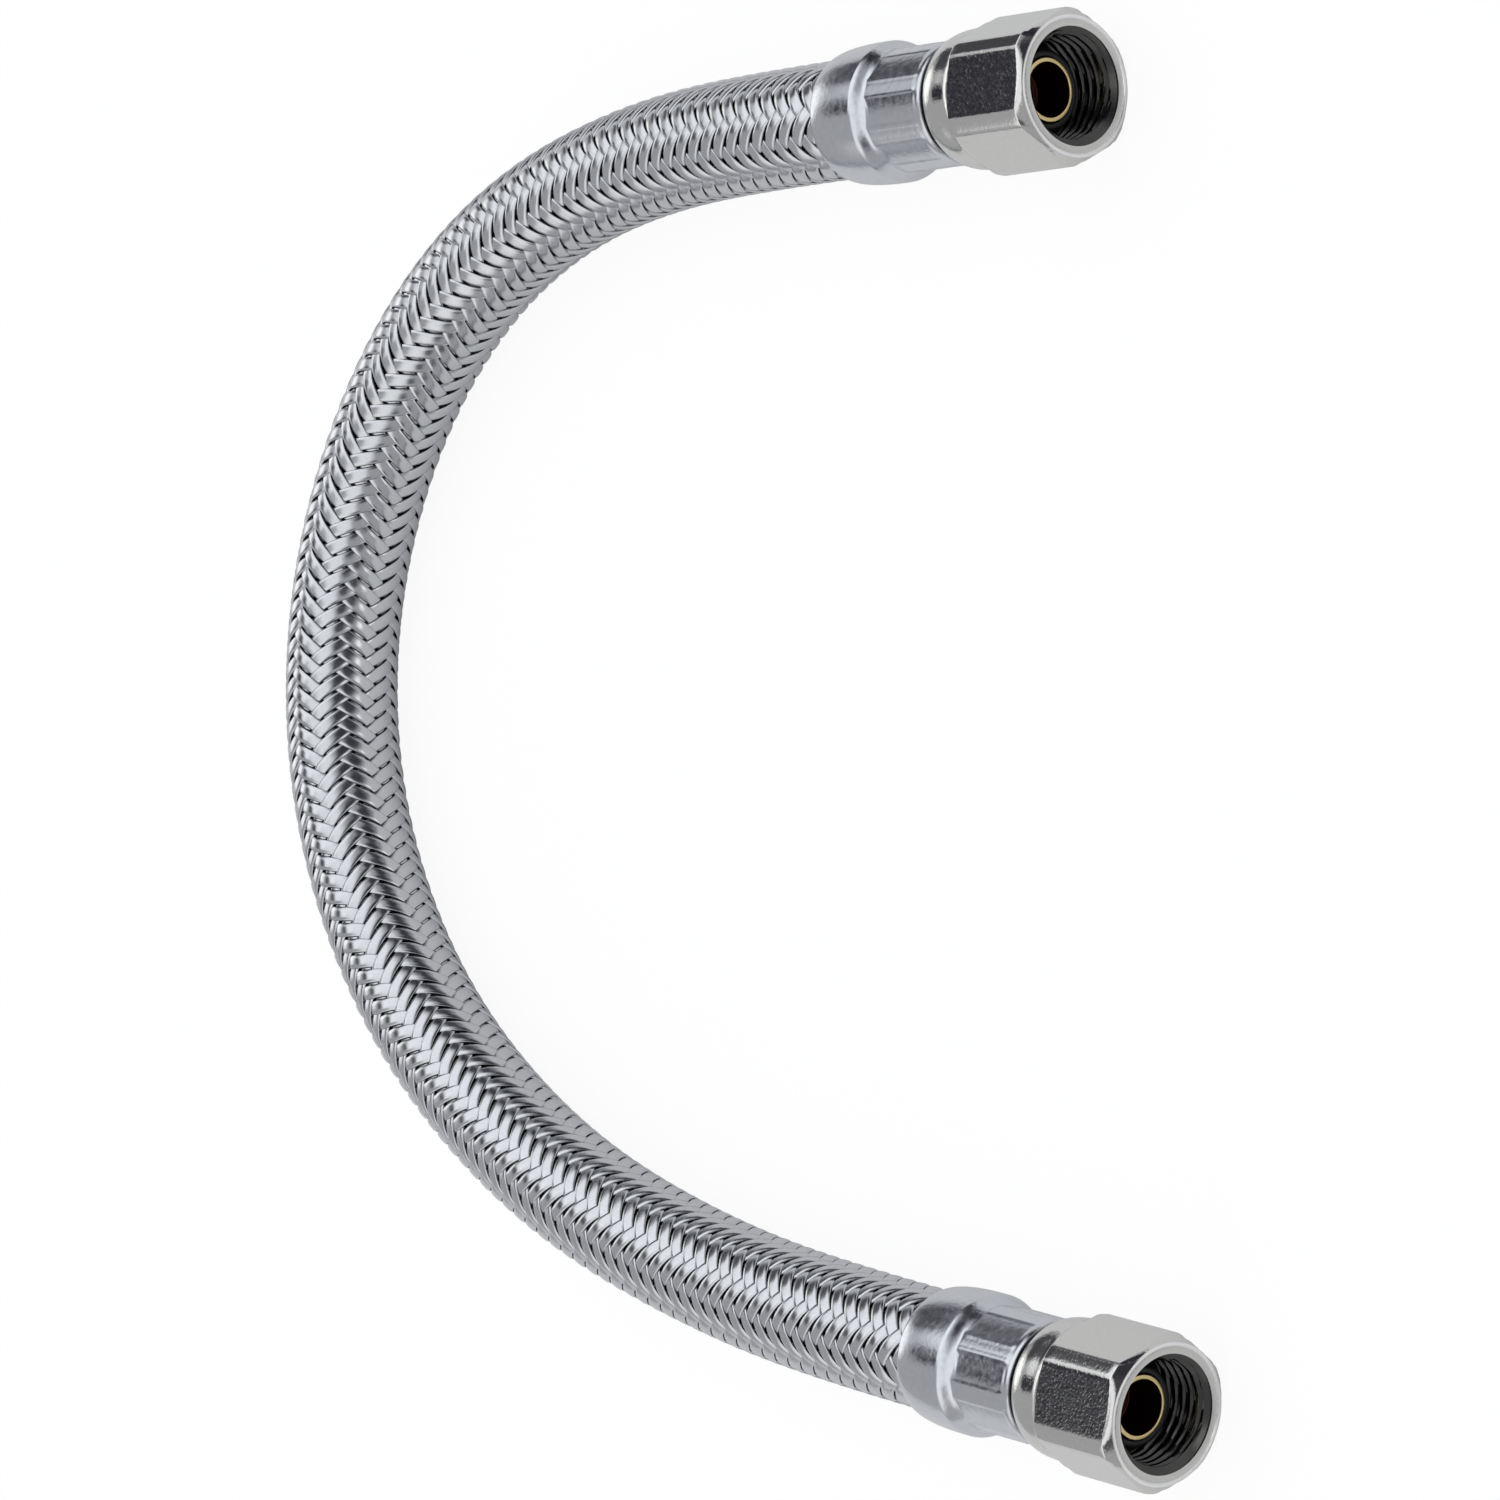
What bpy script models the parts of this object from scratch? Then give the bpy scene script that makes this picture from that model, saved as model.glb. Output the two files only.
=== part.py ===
# Braided ice maker hose, lying on a flat surface, as an assembly of separate solids.
# An inner tube inside a wire braid ends in a crimped ferrule on a brass stem at each end.
# A hexagon nut turns freely on each stem, behind a rubber cone seal.
# Units are metres and +Z is up. The origin is under the middle of the whole hose.
# In a fitting, "depth" is the distance behind the open face of the nut, along its axis.

import math

import bmesh
import bpy
import numpy as np
from mathutils import Matrix, Vector

MM = 0.001

# Play left between neighbouring pieces
CLEARANCE = 0.3 * MM

# Hose: an inner tube in a sleeve of braided wire
BRAID_RADIUS = 5.95 * MM
BRAID_WALL = 0.6 * MM
LINER_BORE_RADIUS = 3.25 * MM
BRAID_CRIMPED_RADIUS = 5.25 * MM
BRAID_MOUTH_RADIUS = 5.7 * MM
MOUTH_NECK_LENGTH = 3.5 * MM

# Nut: 9/16 inch hexagon bar with its corners turned down, bored for a 7/16 inch fine thread
NUT_FLATS = 14.1 * MM
NUT_CORNER_RADIUS = 7.65 * MM
NUT_LENGTH = 15.2 * MM
NUT_HEX_LENGTH = 11.3 * MM
NUT_COLLAR_LENGTH = 1.2 * MM
NUT_CHAMFER_ANGLE = math.radians(35.0)
NUT_FACE_INSET = 0.13 * MM
NUT_MOUTH_RADIUS = 6.2 * MM
NUT_MOUTH_DEPTH = 1.1 * MM
THREAD_CREST_RADIUS = 5.1 * MM
NUT_SOCKET_DEPTH = 8.6 * MM
NUT_TAIL_RADIUS = 5.9 * MM

# Stem: brass insert with a nose for 1/4 inch tube, a collar and a barbed tail
NOSE_RADIUS = 3.175 * MM
NOSE_WALL = 0.5 * MM
NOSE_RECESS = 3.7 * MM
COLLAR_RADIUS = 4.6 * MM
COLLAR_THICKNESS = 1.5 * MM
TAIL_BORE_RADIUS = 2.1 * MM
TAIL_SHORTFALL = 0.6 * MM
BARB_COUNT = 4
BARB_RIDGE = 0.25 * MM

# Seal: a rubber cone on the nose
SEAL_SETBACK = 0.2 * MM
SEAL_TIP_RADIUS = 3.8 * MM
SEAL_BASE_RADIUS = 4.75 * MM
SEAL_BASE_LENGTH = 0.8 * MM

# Ferrule: a steel cup crimped by eight jaws over the end of the braid
NUT_END_PLAY = 0.4 * MM
FERRULE_LENGTH = 15.9 * MM
FERRULE_END_WALL = 1.2 * MM
FERRULE_LIP_RADIUS = 6.2 * MM
FERRULE_LIP_LENGTH = 1.0 * MM
FERRULE_LIP_ROUND = 0.4 * MM
FERRULE_FLAT_RADIUS = 6.05 * MM
FERRULE_CORNER_RADIUS = 6.5 * MM
FERRULE_CRIMP_LENGTH = 7.0 * MM
FERRULE_SHOULDER_LENGTH = 1.6 * MM
FERRULE_CROWN_RADIUS = 7.0 * MM
FERRULE_CROWN_LENGTH = 1.0 * MM
FERRULE_MOUTH_RADIUS = 6.3 * MM
FERRULE_WALL = 0.6 * MM
FERRULE_JAWS = 8

# Where the two fittings lie: centre of the nut's open face, and the way that it points
INLET_FACE = (41.6 * MM, 62.3 * MM)
INLET_TURN = math.radians(6.0)
OUTLET_FACE = (71.2 * MM, -62.3 * MM)
OUTLET_TURN = math.radians(-4.2)

# Chosen points of the hose's centre line between the two ferrules, inlet first
ROUTE = (
    (-4.8 * MM, 57.4 * MM),
    (-19.7 * MM, 55.2 * MM),
    (-34.1 * MM, 50.9 * MM),
    (-47.2 * MM, 43.4 * MM),
    (-57.4 * MM, 32.4 * MM),
    (-63.8 * MM, 18.8 * MM),
    (-65.8 * MM, 3.9 * MM),
    (-63.0 * MM, -10.9 * MM),
    (-55.9 * MM, -24.1 * MM),
    (-45.6 * MM, -35.1 * MM),
    (-33.2 * MM, -43.6 * MM),
    (-19.5 * MM, -49.9 * MM),
    (-5.0 * MM, -54.2 * MM),
    (9.8 * MM, -57.1 * MM),
    (24.8 * MM, -58.8 * MM),
)

# The hose sinks from the height of the fittings to the surface over this length
SETTLE_LENGTH = 40.0 * MM
HOSE_STEP = 8.0 * MM

# Facets around each piece
BRAID_SIDES = 20
LINER_SIDES = 16
NUT_SIDES = 36
STEM_SIDES = 24
SEAL_SIDES = 24
FERRULE_SIDES = 4 * FERRULE_JAWS

# Sizes that follow from the ones above
AXIS_HEIGHT = NUT_FLATS / 2
SWIVEL_HOLE_RADIUS = NOSE_RADIUS + CLEARANCE
FERRULE_START = NUT_LENGTH + NUT_END_PLAY
FERRULE_MOUTH = FERRULE_START + FERRULE_LENGTH
HOSE_END = FERRULE_START + FERRULE_END_WALL + CLEARANCE
BARB_RADIUS = LINER_BORE_RADIUS - CLEARANCE


def new_material(name, colour, roughness, metallic):
    material = bpy.data.materials.new(name)
    material.use_nodes = True
    shader = material.node_tree.nodes["Principled BSDF"]
    shader.inputs["Base Color"].default_value = (*colour, 1.0)
    shader.inputs["Roughness"].default_value = roughness
    shader.inputs["Metallic"].default_value = metallic
    return material


def add_object(name, mesh_builder, material, parent=None):
    mesh = bpy.data.meshes.new(name)
    bmesh.ops.recalc_face_normals(mesh_builder, faces=mesh_builder.faces)
    mesh_builder.to_mesh(mesh)
    mesh_builder.free()
    mesh.shade_smooth()
    mesh.set_sharp_from_angle(angle=math.radians(35.0))
    piece = bpy.data.objects.new(name, mesh)
    bpy.context.collection.objects.link(piece)
    if material:
        piece.data.materials.append(material)
    piece.parent = parent
    return piece


def quarter_round(start, end, steps, flat_first=True):
    """Elliptic quarter from one (depth, radius) point to another, without its first point.

    It leaves along the axis if flat_first, and otherwise arrives along the axis."""
    points = []
    for step in range(1, steps + 1):
        angle = math.pi / 2 * step / steps
        along = math.sin(angle) if flat_first else 1 - math.cos(angle)
        across = 1 - math.cos(angle) if flat_first else math.sin(angle)
        depth = start[0] + (end[0] - start[0]) * along
        radius = start[1] + (end[1] - start[1]) * across
        points.append((depth, radius))
    return points


def soft_step(start, end, steps):
    """S-shaped rise or fall between two (depth, radius) points, without its first point."""
    points = []
    for step in range(1, steps + 1):
        share = step / steps
        ease = (1 - math.cos(math.pi * share)) / 2
        points.append((start[0] + (end[0] - start[0]) * share, start[1] + (end[1] - start[1]) * ease))
    return points


def turned(outline, sides):
    """Spin a closed outline of (depth, radius) points about the local X axis."""
    builder = bmesh.new()
    ring = [builder.verts.new((-depth, 0.0, radius)) for depth, radius in outline]
    edges = [builder.edges.new((ring[i - 1], ring[i])) for i in range(len(ring))]
    bmesh.ops.spin(
        builder, geom=ring + edges, axis=(1, 0, 0), cent=(0, 0, 0),
        angle=math.tau, steps=sides, use_merge=True,
    )
    return builder


# Nut

def nut_outline():
    face_radius = NUT_FLATS / 2 - NUT_FACE_INSET
    chamfer_depth = (NUT_CORNER_RADIUS - face_radius) * math.tan(NUT_CHAMFER_ANGLE)
    outline = [
        (NUT_MOUTH_DEPTH, THREAD_CREST_RADIUS),
        (0.0, NUT_MOUTH_RADIUS),
        (0.0, face_radius),
        (chamfer_depth, NUT_CORNER_RADIUS),
        (NUT_HEX_LENGTH - chamfer_depth, NUT_CORNER_RADIUS),
        (NUT_HEX_LENGTH, face_radius),
    ]
    collar_end = NUT_HEX_LENGTH + NUT_COLLAR_LENGTH
    outline += [(collar_end, face_radius)]
    outline += quarter_round((collar_end, face_radius), (NUT_LENGTH, NUT_TAIL_RADIUS), 5)
    outline += [
        (NUT_LENGTH, SWIVEL_HOLE_RADIUS),
        (NUT_SOCKET_DEPTH, SWIVEL_HOLE_RADIUS),
        (NUT_SOCKET_DEPTH, THREAD_CREST_RADIUS),
    ]
    return outline


def add_nut(name, material, parent):
    nut = add_object(name, turned(nut_outline(), NUT_SIDES), material, parent)
    prism = bmesh.new()
    lengthwise = Matrix.Rotation(math.pi / 2, 4, "Y")
    middle = Matrix.Translation((-NUT_LENGTH / 2, 0, 0))
    bmesh.ops.create_cone(
        prism, cap_ends=True, segments=6, radius1=NUT_FLATS / math.sqrt(3),
        radius2=NUT_FLATS / math.sqrt(3), depth=2 * NUT_LENGTH,
        matrix=middle @ lengthwise,
    )
    bar = add_object(name + "_bar", prism, None, parent)
    bar.hide_render = True
    bar.display_type = "WIRE"
    cut = nut.modifiers.new("hexagon", "BOOLEAN")
    cut.operation = "INTERSECT"
    cut.solver = "EXACT"
    cut.object = bar
    return nut


# Stem

def stem_outline():
    collar_back = NUT_SOCKET_DEPTH - CLEARANCE
    collar_front = collar_back - COLLAR_THICKNESS
    nose_bore = NOSE_RADIUS - NOSE_WALL
    neck_end = FERRULE_START + FERRULE_END_WALL
    tail_end = FERRULE_MOUTH - TAIL_SHORTFALL
    barb_root = BARB_RADIUS - BARB_RIDGE
    first_barb = HOSE_END + CLEARANCE
    pitch = (tail_end - first_barb) / BARB_COUNT
    outline = [
        (NOSE_RECESS, nose_bore),
        (NOSE_RECESS, NOSE_RADIUS),
        (collar_front, NOSE_RADIUS),
        (collar_front, COLLAR_RADIUS),
        (collar_back, COLLAR_RADIUS),
        (collar_back, NOSE_RADIUS),
        (neck_end, NOSE_RADIUS),
        (neck_end, barb_root),
    ]
    for barb in range(BARB_COUNT):
        ridge = first_barb + barb * pitch
        outline.append((ridge, barb_root))
        outline.append((ridge, BARB_RADIUS))
    outline += [
        (tail_end, barb_root),
        (tail_end, TAIL_BORE_RADIUS),
        (collar_back, TAIL_BORE_RADIUS),
        (collar_back, nose_bore),
    ]
    return outline


# Cone seal

def seal_outline():
    tip = NOSE_RECESS + SEAL_SETBACK
    base = NUT_SOCKET_DEPTH - CLEARANCE - COLLAR_THICKNESS - CLEARANCE
    bore = NOSE_RADIUS + CLEARANCE
    return [
        (tip, bore),
        (tip, SEAL_TIP_RADIUS),
        (base - SEAL_BASE_LENGTH, SEAL_BASE_RADIUS),
        (base, SEAL_BASE_RADIUS),
        (base, bore),
    ]


# Ferrule

def ferrule_outline():
    lip_end = FERRULE_START + FERRULE_LIP_LENGTH
    crimp_end = lip_end + FERRULE_CRIMP_LENGTH
    shoulder_end = crimp_end + FERRULE_SHOULDER_LENGTH
    crown_end = shoulder_end + FERRULE_CROWN_LENGTH
    lip_base = FERRULE_LIP_RADIUS - FERRULE_LIP_ROUND
    crimp_bore = BRAID_CRIMPED_RADIUS + CLEARANCE
    mouth_bore = BRAID_MOUTH_RADIUS + CLEARANCE
    crown_bore = FERRULE_CROWN_RADIUS - FERRULE_WALL

    outline = [(FERRULE_START, SWIVEL_HOLE_RADIUS), (FERRULE_START, lip_base)]
    outline += quarter_round(
        (FERRULE_START, lip_base), (FERRULE_START + FERRULE_LIP_ROUND, FERRULE_LIP_RADIUS), 3, False)
    outline += [
        (lip_end - FERRULE_LIP_ROUND, FERRULE_LIP_RADIUS),
        (lip_end, FERRULE_FLAT_RADIUS),
        (crimp_end, FERRULE_FLAT_RADIUS),
    ]
    outline += soft_step((crimp_end, FERRULE_FLAT_RADIUS), (shoulder_end, FERRULE_CROWN_RADIUS), 4)
    outline.append((crown_end, FERRULE_CROWN_RADIUS))
    outline += quarter_round(
        (crown_end, FERRULE_CROWN_RADIUS), (FERRULE_MOUTH, FERRULE_MOUTH_RADIUS), 5)
    outline += [
        (FERRULE_MOUTH, mouth_bore),
        (crown_end, crown_bore),
        (shoulder_end, crown_bore),
        (crimp_end, crimp_bore),
        (FERRULE_START + FERRULE_END_WALL, crimp_bore),
        (FERRULE_START + FERRULE_END_WALL, SWIVEL_HOLE_RADIUS),
    ]
    return outline


def press_flats(builder):
    """Press the crimped stretch of a turned ferrule into one flat for each jaw."""
    start = -(FERRULE_START + FERRULE_LIP_LENGTH)
    end = start - FERRULE_CRIMP_LENGTH
    sector = math.tau / FERRULE_JAWS
    slack = 0.01 * MM
    for vert in builder.verts:
        radius = math.hypot(vert.co.y, vert.co.z)
        in_crimp = end - slack < vert.co.x < start + slack
        if not in_crimp or abs(radius - FERRULE_FLAT_RADIUS) > slack:
            continue
        angle = math.atan2(vert.co.z, vert.co.y)
        from_middle = (angle + sector / 2) % sector - sector / 2
        pressed = min(FERRULE_FLAT_RADIUS / math.cos(from_middle), FERRULE_CORNER_RADIUS)
        vert.co.y *= pressed / radius
        vert.co.z *= pressed / radius


def add_ferrule(name, material, parent):
    builder = turned(ferrule_outline(), FERRULE_SIDES)
    press_flats(builder)
    return add_object(name, builder, material, parent)


# Hose

def smooth_curve(points, start_way, end_way):
    """Cubic spline through points with given end directions, as a function of chord length."""
    points = np.array(points)
    knots = np.concatenate([[0.0], np.cumsum(np.linalg.norm(np.diff(points, axis=0), axis=1))])
    steps = np.diff(knots)
    count = len(points)
    system = np.eye(count)
    right = np.zeros((count, 2))
    right[0] = start_way
    right[-1] = end_way
    for i in range(1, count - 1):
        before, after = steps[i - 1], steps[i]
        system[i, i - 1:i + 2] = (after, 2 * (before + after), before)
        slope_before = (points[i] - points[i - 1]) / before
        slope_after = (points[i + 1] - points[i]) / after
        right[i] = 3 * (after * slope_before + before * slope_after)
    slopes = np.linalg.solve(system, right)

    def at(distance):
        i = int(np.clip(np.searchsorted(knots, distance) - 1, 0, count - 2))
        t = (distance - knots[i]) / steps[i]
        return (
            (2 * t**3 - 3 * t**2 + 1) * points[i] + (t**3 - 2 * t**2 + t) * steps[i] * slopes[i]
            + (3 * t**2 - 2 * t**3) * points[i + 1] + (t**3 - t**2) * steps[i] * slopes[i + 1])

    return at, knots[-1]


def fitting_point(face, turn, depth):
    return (face[0] - depth * math.cos(turn), face[1] - depth * math.sin(turn))


def ease(share):
    share = min(max(share, 0.0), 1.0)
    return share * share * (3 - 2 * share)


def braid_radius(from_end):
    """Outer radius of the braid at a distance from its cut end."""
    crimp = FERRULE_START + FERRULE_LIP_LENGTH + FERRULE_CRIMP_LENGTH - HOSE_END
    mouth = FERRULE_MOUTH - HOSE_END
    stations = (0.0, crimp, mouth, mouth + MOUTH_NECK_LENGTH)
    radii = (BRAID_CRIMPED_RADIUS, BRAID_CRIMPED_RADIUS, BRAID_MOUTH_RADIUS, BRAID_RADIUS)
    return float(np.interp(from_end, stations, radii))


def hose_stations():
    """Centre points of the hose from its inlet end to its outlet end, with the braid's radius."""
    straight = FERRULE_MOUTH - HOSE_END
    crimp = FERRULE_START + FERRULE_LIP_LENGTH + FERRULE_CRIMP_LENGTH - HOSE_END
    inlet_mouth = fitting_point(INLET_FACE, INLET_TURN, FERRULE_MOUTH)
    outlet_mouth = fitting_point(OUTLET_FACE, OUTLET_TURN, FERRULE_MOUTH)
    at, length = smooth_curve(
        [inlet_mouth, *ROUTE, outlet_mouth],
        (-math.cos(INLET_TURN), -math.sin(INLET_TURN)), (math.cos(OUTLET_TURN), math.sin(OUTLET_TURN)))
    count = round((length - 2 * MOUTH_NECK_LENGTH) / HOSE_STEP)
    free = np.linspace(MOUTH_NECK_LENGTH, length - MOUTH_NECK_LENGTH, count + 1)

    stations = []
    for from_end in (0.0, crimp, straight):
        place = fitting_point(INLET_FACE, INLET_TURN, HOSE_END + from_end)
        stations.append((*place, AXIS_HEIGHT, braid_radius(from_end)))
    for distance in free:
        nearest = min(distance, length - distance)
        drop = ease(nearest / SETTLE_LENGTH)
        height = AXIS_HEIGHT + (BRAID_RADIUS - AXIS_HEIGHT) * drop
        stations.append((*at(distance), height, braid_radius(straight + nearest)))
    for from_end in (straight, crimp, 0.0):
        place = fitting_point(OUTLET_FACE, OUTLET_TURN, HOSE_END + from_end)
        stations.append((*place, AXIS_HEIGHT, braid_radius(from_end)))
    return np.array(stations)


def add_sleeve(name, stations, outer_radii, inner_radii, sides, material):
    """Tube along the stations, with an outer and an inner skin and two ring-shaped ends."""
    centres = stations[:, :3]
    ways = np.gradient(centres, axis=0)
    ways[0] = centres[1] - centres[0]
    ways[-1] = centres[-1] - centres[-2]
    builder = bmesh.new()
    skins = []
    for radii in (outer_radii, inner_radii):
        rings = []
        for centre, way, radius in zip(centres, ways, radii):
            along = Vector(way).normalized()
            side = Vector((0, 0, 1)).cross(along).normalized()
            up = along.cross(side)
            ring = []
            for corner in range(sides):
                angle = math.tau * corner / sides
                offset = side * math.sin(angle) - up * math.cos(angle)
                ring.append(builder.verts.new(Vector(centre) + offset * radius))
            rings.append(ring)
        skins.append(rings)
    outer, inner = skins
    pairs = list(zip(outer, outer[1:])) + list(zip(inner, inner[1:]))
    pairs += [(outer[0], inner[0]), (outer[-1], inner[-1])]
    for first, second in pairs:
        for corner in range(sides):
            after = (corner + 1) % sides
            builder.faces.new((first[corner], first[after], second[after], second[corner]))
    return add_object(name, builder, material)


def add_fitting(end, face, turn, materials):
    """One end of the hose, on an empty at the centre of its nut's open face."""
    axis = bpy.data.objects.new(end + "_axis", None)
    axis.location = (*face, AXIS_HEIGHT)
    axis.rotation_euler = (0, 0, turn)
    bpy.context.collection.objects.link(axis)
    add_ferrule(end + "_ferrule", materials["ferrule"], axis)
    add_object(end + "_stem", turned(stem_outline(), STEM_SIDES), materials["stem"], axis)
    add_object(end + "_seal", turned(seal_outline(), SEAL_SIDES), materials["seal"], axis)
    add_nut(end + "_nut", materials["nut"], axis)


for old in list(bpy.data.objects):
    bpy.data.objects.remove(old, do_unlink=True)

stations = hose_stations()
braid_outer = stations[:, 3]
braid_inner = braid_outer - BRAID_WALL
liner_outer = braid_inner - CLEARANCE
liner_inner = np.full(len(stations), LINER_BORE_RADIUS)
add_sleeve("braid_sleeve", stations, braid_outer, braid_inner, BRAID_SIDES,
           new_material("braided_steel", (0.62, 0.63, 0.65), 0.32, 1.0))
add_sleeve("hose_liner", stations, liner_outer, liner_inner, LINER_SIDES,
           new_material("liner_plastic", (0.78, 0.78, 0.74), 0.5, 0.0))

for end, face, turn in (("inlet", INLET_FACE, INLET_TURN), ("outlet", OUTLET_FACE, OUTLET_TURN)):
    add_fitting(end, face, turn, {
        "ferrule": new_material(end + "_ferrule_steel", (0.66, 0.68, 0.72), 0.28, 1.0),
        "stem": new_material(end + "_stem_brass", (0.80, 0.66, 0.36), 0.3, 1.0),
        "seal": new_material(end + "_seal_rubber", (0.02, 0.02, 0.022), 0.6, 0.0),
        "nut": new_material(end + "_nut_plating", (0.66, 0.65, 0.62), 0.25, 1.0),
    })
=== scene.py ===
import math

import bpy
import numpy as np
from mathutils import Matrix, Vector


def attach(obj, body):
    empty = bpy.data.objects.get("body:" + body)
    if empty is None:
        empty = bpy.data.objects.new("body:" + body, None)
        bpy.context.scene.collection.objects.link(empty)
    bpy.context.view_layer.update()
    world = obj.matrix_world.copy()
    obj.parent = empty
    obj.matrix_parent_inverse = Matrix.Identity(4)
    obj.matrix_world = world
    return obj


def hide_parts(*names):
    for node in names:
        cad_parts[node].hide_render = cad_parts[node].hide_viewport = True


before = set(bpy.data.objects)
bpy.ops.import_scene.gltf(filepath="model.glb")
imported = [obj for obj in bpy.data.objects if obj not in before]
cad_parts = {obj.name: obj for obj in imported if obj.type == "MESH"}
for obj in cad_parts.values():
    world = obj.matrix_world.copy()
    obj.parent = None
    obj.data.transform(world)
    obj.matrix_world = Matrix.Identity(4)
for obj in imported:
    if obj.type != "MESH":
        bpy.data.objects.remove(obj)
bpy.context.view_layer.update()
MM = 0.001


# Camera
# It looks down over the two open nuts, turned on its side so that the bend stands upright
# in the picture, from far enough away that both nuts look the same size.
camera = bpy.data.objects.new("camera", bpy.data.cameras.new("camera"))
bpy.context.scene.collection.objects.link(camera)
camera_place = Vector((690.7 * MM, -3.02 * MM, 593.7 * MM))
camera_back = Vector((0.7610, 0.0011, 0.6488)).normalized()
camera_top = Vector((-0.0598, 0.9959, 0.0685))
camera_right = camera_top.cross(camera_back).normalized()
camera_up = camera_back.cross(camera_right)
turned_camera = Matrix((camera_right, camera_up, camera_back)).transposed().to_4x4()
camera.matrix_world = Matrix.Translation(camera_place) @ turned_camera
camera.data.sensor_width = 36.0
camera.data.lens = 218.83
camera.data.clip_start = 0.05
camera.data.clip_end = 30.0
bpy.context.scene.camera = camera


# Inner tube
# The hose that carries the water: a plain dark plastic tube, extruded in one length, that lies
# in the bend of the photograph and is pushed over the barbs of a brass stem at both ends.
AXIS_HEIGHT = 7.05 * MM
FITTING_FACE = {"inlet": (41.6 * MM, 62.3 * MM), "outlet": (71.2 * MM, -62.3 * MM)}
FITTING_TURN = {"inlet": math.radians(6.0), "outlet": math.radians(-4.2)}
HOSE_END = 17.1 * MM
FERRULE_MOUTH = 31.5 * MM
CRIMP_END = 23.6 * MM
SETTLE_LENGTH = 40.0 * MM
BRAID_RADIUS = 5.95 * MM
BRAID_CRIMPED_RADIUS = 5.25 * MM
BRAID_MOUTH_RADIUS = 5.7 * MM
MOUTH_NECK_LENGTH = 3.5 * MM
TUBE_BELOW_BRAID = 0.62 * MM
TUBE_BORE_RADIUS = 3.25 * MM
TUBE_SIDES = 32
TUBE_PLACES = 271
CURVE_SAMPLES = 1001
FITTING_SAMPLES = 40
ROUTE = (
    (-4.8 * MM, 57.4 * MM),
    (-19.7 * MM, 55.2 * MM),
    (-34.1 * MM, 50.9 * MM),
    (-47.2 * MM, 43.4 * MM),
    (-57.4 * MM, 32.4 * MM),
    (-63.8 * MM, 18.8 * MM),
    (-65.8 * MM, 3.9 * MM),
    (-63.0 * MM, -10.9 * MM),
    (-55.9 * MM, -24.1 * MM),
    (-45.6 * MM, -35.1 * MM),
    (-33.2 * MM, -43.6 * MM),
    (-19.5 * MM, -49.9 * MM),
    (-5.0 * MM, -54.2 * MM),
    (9.8 * MM, -57.1 * MM),
    (24.8 * MM, -58.8 * MM),
)


def fitting_point(end, depth):
    """Place on a fitting's axis, at a depth behind its nut's open face, seen from above."""
    turn = FITTING_TURN[end]
    face = FITTING_FACE[end]
    return (face[0] - depth * math.cos(turn), face[1] - depth * math.sin(turn))


def smooth_curve(points, start_way, end_way, count):
    """Even samples of the cubic spline through points that leaves and arrives in given ways."""
    points = np.array(points)
    knots = np.concatenate([[0.0], np.cumsum(np.linalg.norm(np.diff(points, axis=0), axis=1))])
    steps = np.diff(knots)
    system = np.eye(len(points))
    right = np.zeros((len(points), 2))
    right[0] = start_way
    right[-1] = end_way
    for i in range(1, len(points) - 1):
        before, after = steps[i - 1], steps[i]
        system[i, i - 1:i + 2] = (after, 2 * (before + after), before)
        slope_before = (points[i] - points[i - 1]) / before
        slope_after = (points[i + 1] - points[i]) / after
        right[i] = 3 * (after * slope_before + before * slope_after)
    slopes = np.linalg.solve(system, right)
    places = np.linspace(0.0, knots[-1], count)
    span = np.clip(np.searchsorted(knots, places) - 1, 0, len(points) - 2)
    t = ((places - knots[span]) / steps[span])[:, None]
    width = steps[span][:, None]
    return places, (
        (2 * t**3 - 3 * t**2 + 1) * points[span] + (t**3 - 2 * t**2 + t) * width * slopes[span]
        + (3 * t**2 - 2 * t**3) * points[span + 1] + (t**3 - t**2) * width * slopes[span + 1])


def lay_hose():
    """Centre points of the whole hose, inlet end first, and how far along it each one is."""
    inlet_way = (-math.cos(FITTING_TURN["inlet"]), -math.sin(FITTING_TURN["inlet"]))
    outlet_way = (math.cos(FITTING_TURN["outlet"]), math.sin(FITTING_TURN["outlet"]))
    ends = [fitting_point("inlet", FERRULE_MOUTH), *ROUTE, fitting_point("outlet", FERRULE_MOUTH)]
    places, free = smooth_curve(ends, inlet_way, outlet_way, CURVE_SAMPLES)
    nearest = np.minimum(places, places[-1] - places)
    drop = np.clip(nearest / SETTLE_LENGTH, 0.0, 1.0)
    drop = drop * drop * (3 - 2 * drop)
    heights = AXIS_HEIGHT + (BRAID_RADIUS - AXIS_HEIGHT) * drop
    free = np.column_stack([free, heights])
    depths = np.linspace(HOSE_END, FERRULE_MOUTH, FITTING_SAMPLES)[:-1]
    first = [(*fitting_point("inlet", depth), AXIS_HEIGHT) for depth in depths]
    last = [(*fitting_point("outlet", depth), AXIS_HEIGHT) for depth in depths[::-1]]
    centres = np.concatenate([first, free, last])
    run = np.concatenate([[0.0], np.cumsum(np.linalg.norm(np.diff(centres, axis=0), axis=1))])
    return centres, run


hose_centres, hose_run = lay_hose()
hose_length = hose_run[-1]
hose_along = np.gradient(hose_centres, hose_run, axis=0)
hose_along /= np.linalg.norm(hose_along, axis=1)[:, None]
hose_inside = np.cross((0.0, 0.0, 1.0), hose_along)
hose_inside /= np.linalg.norm(hose_inside, axis=1)[:, None]
hose_upward = np.cross(hose_along, hose_inside)


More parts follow.
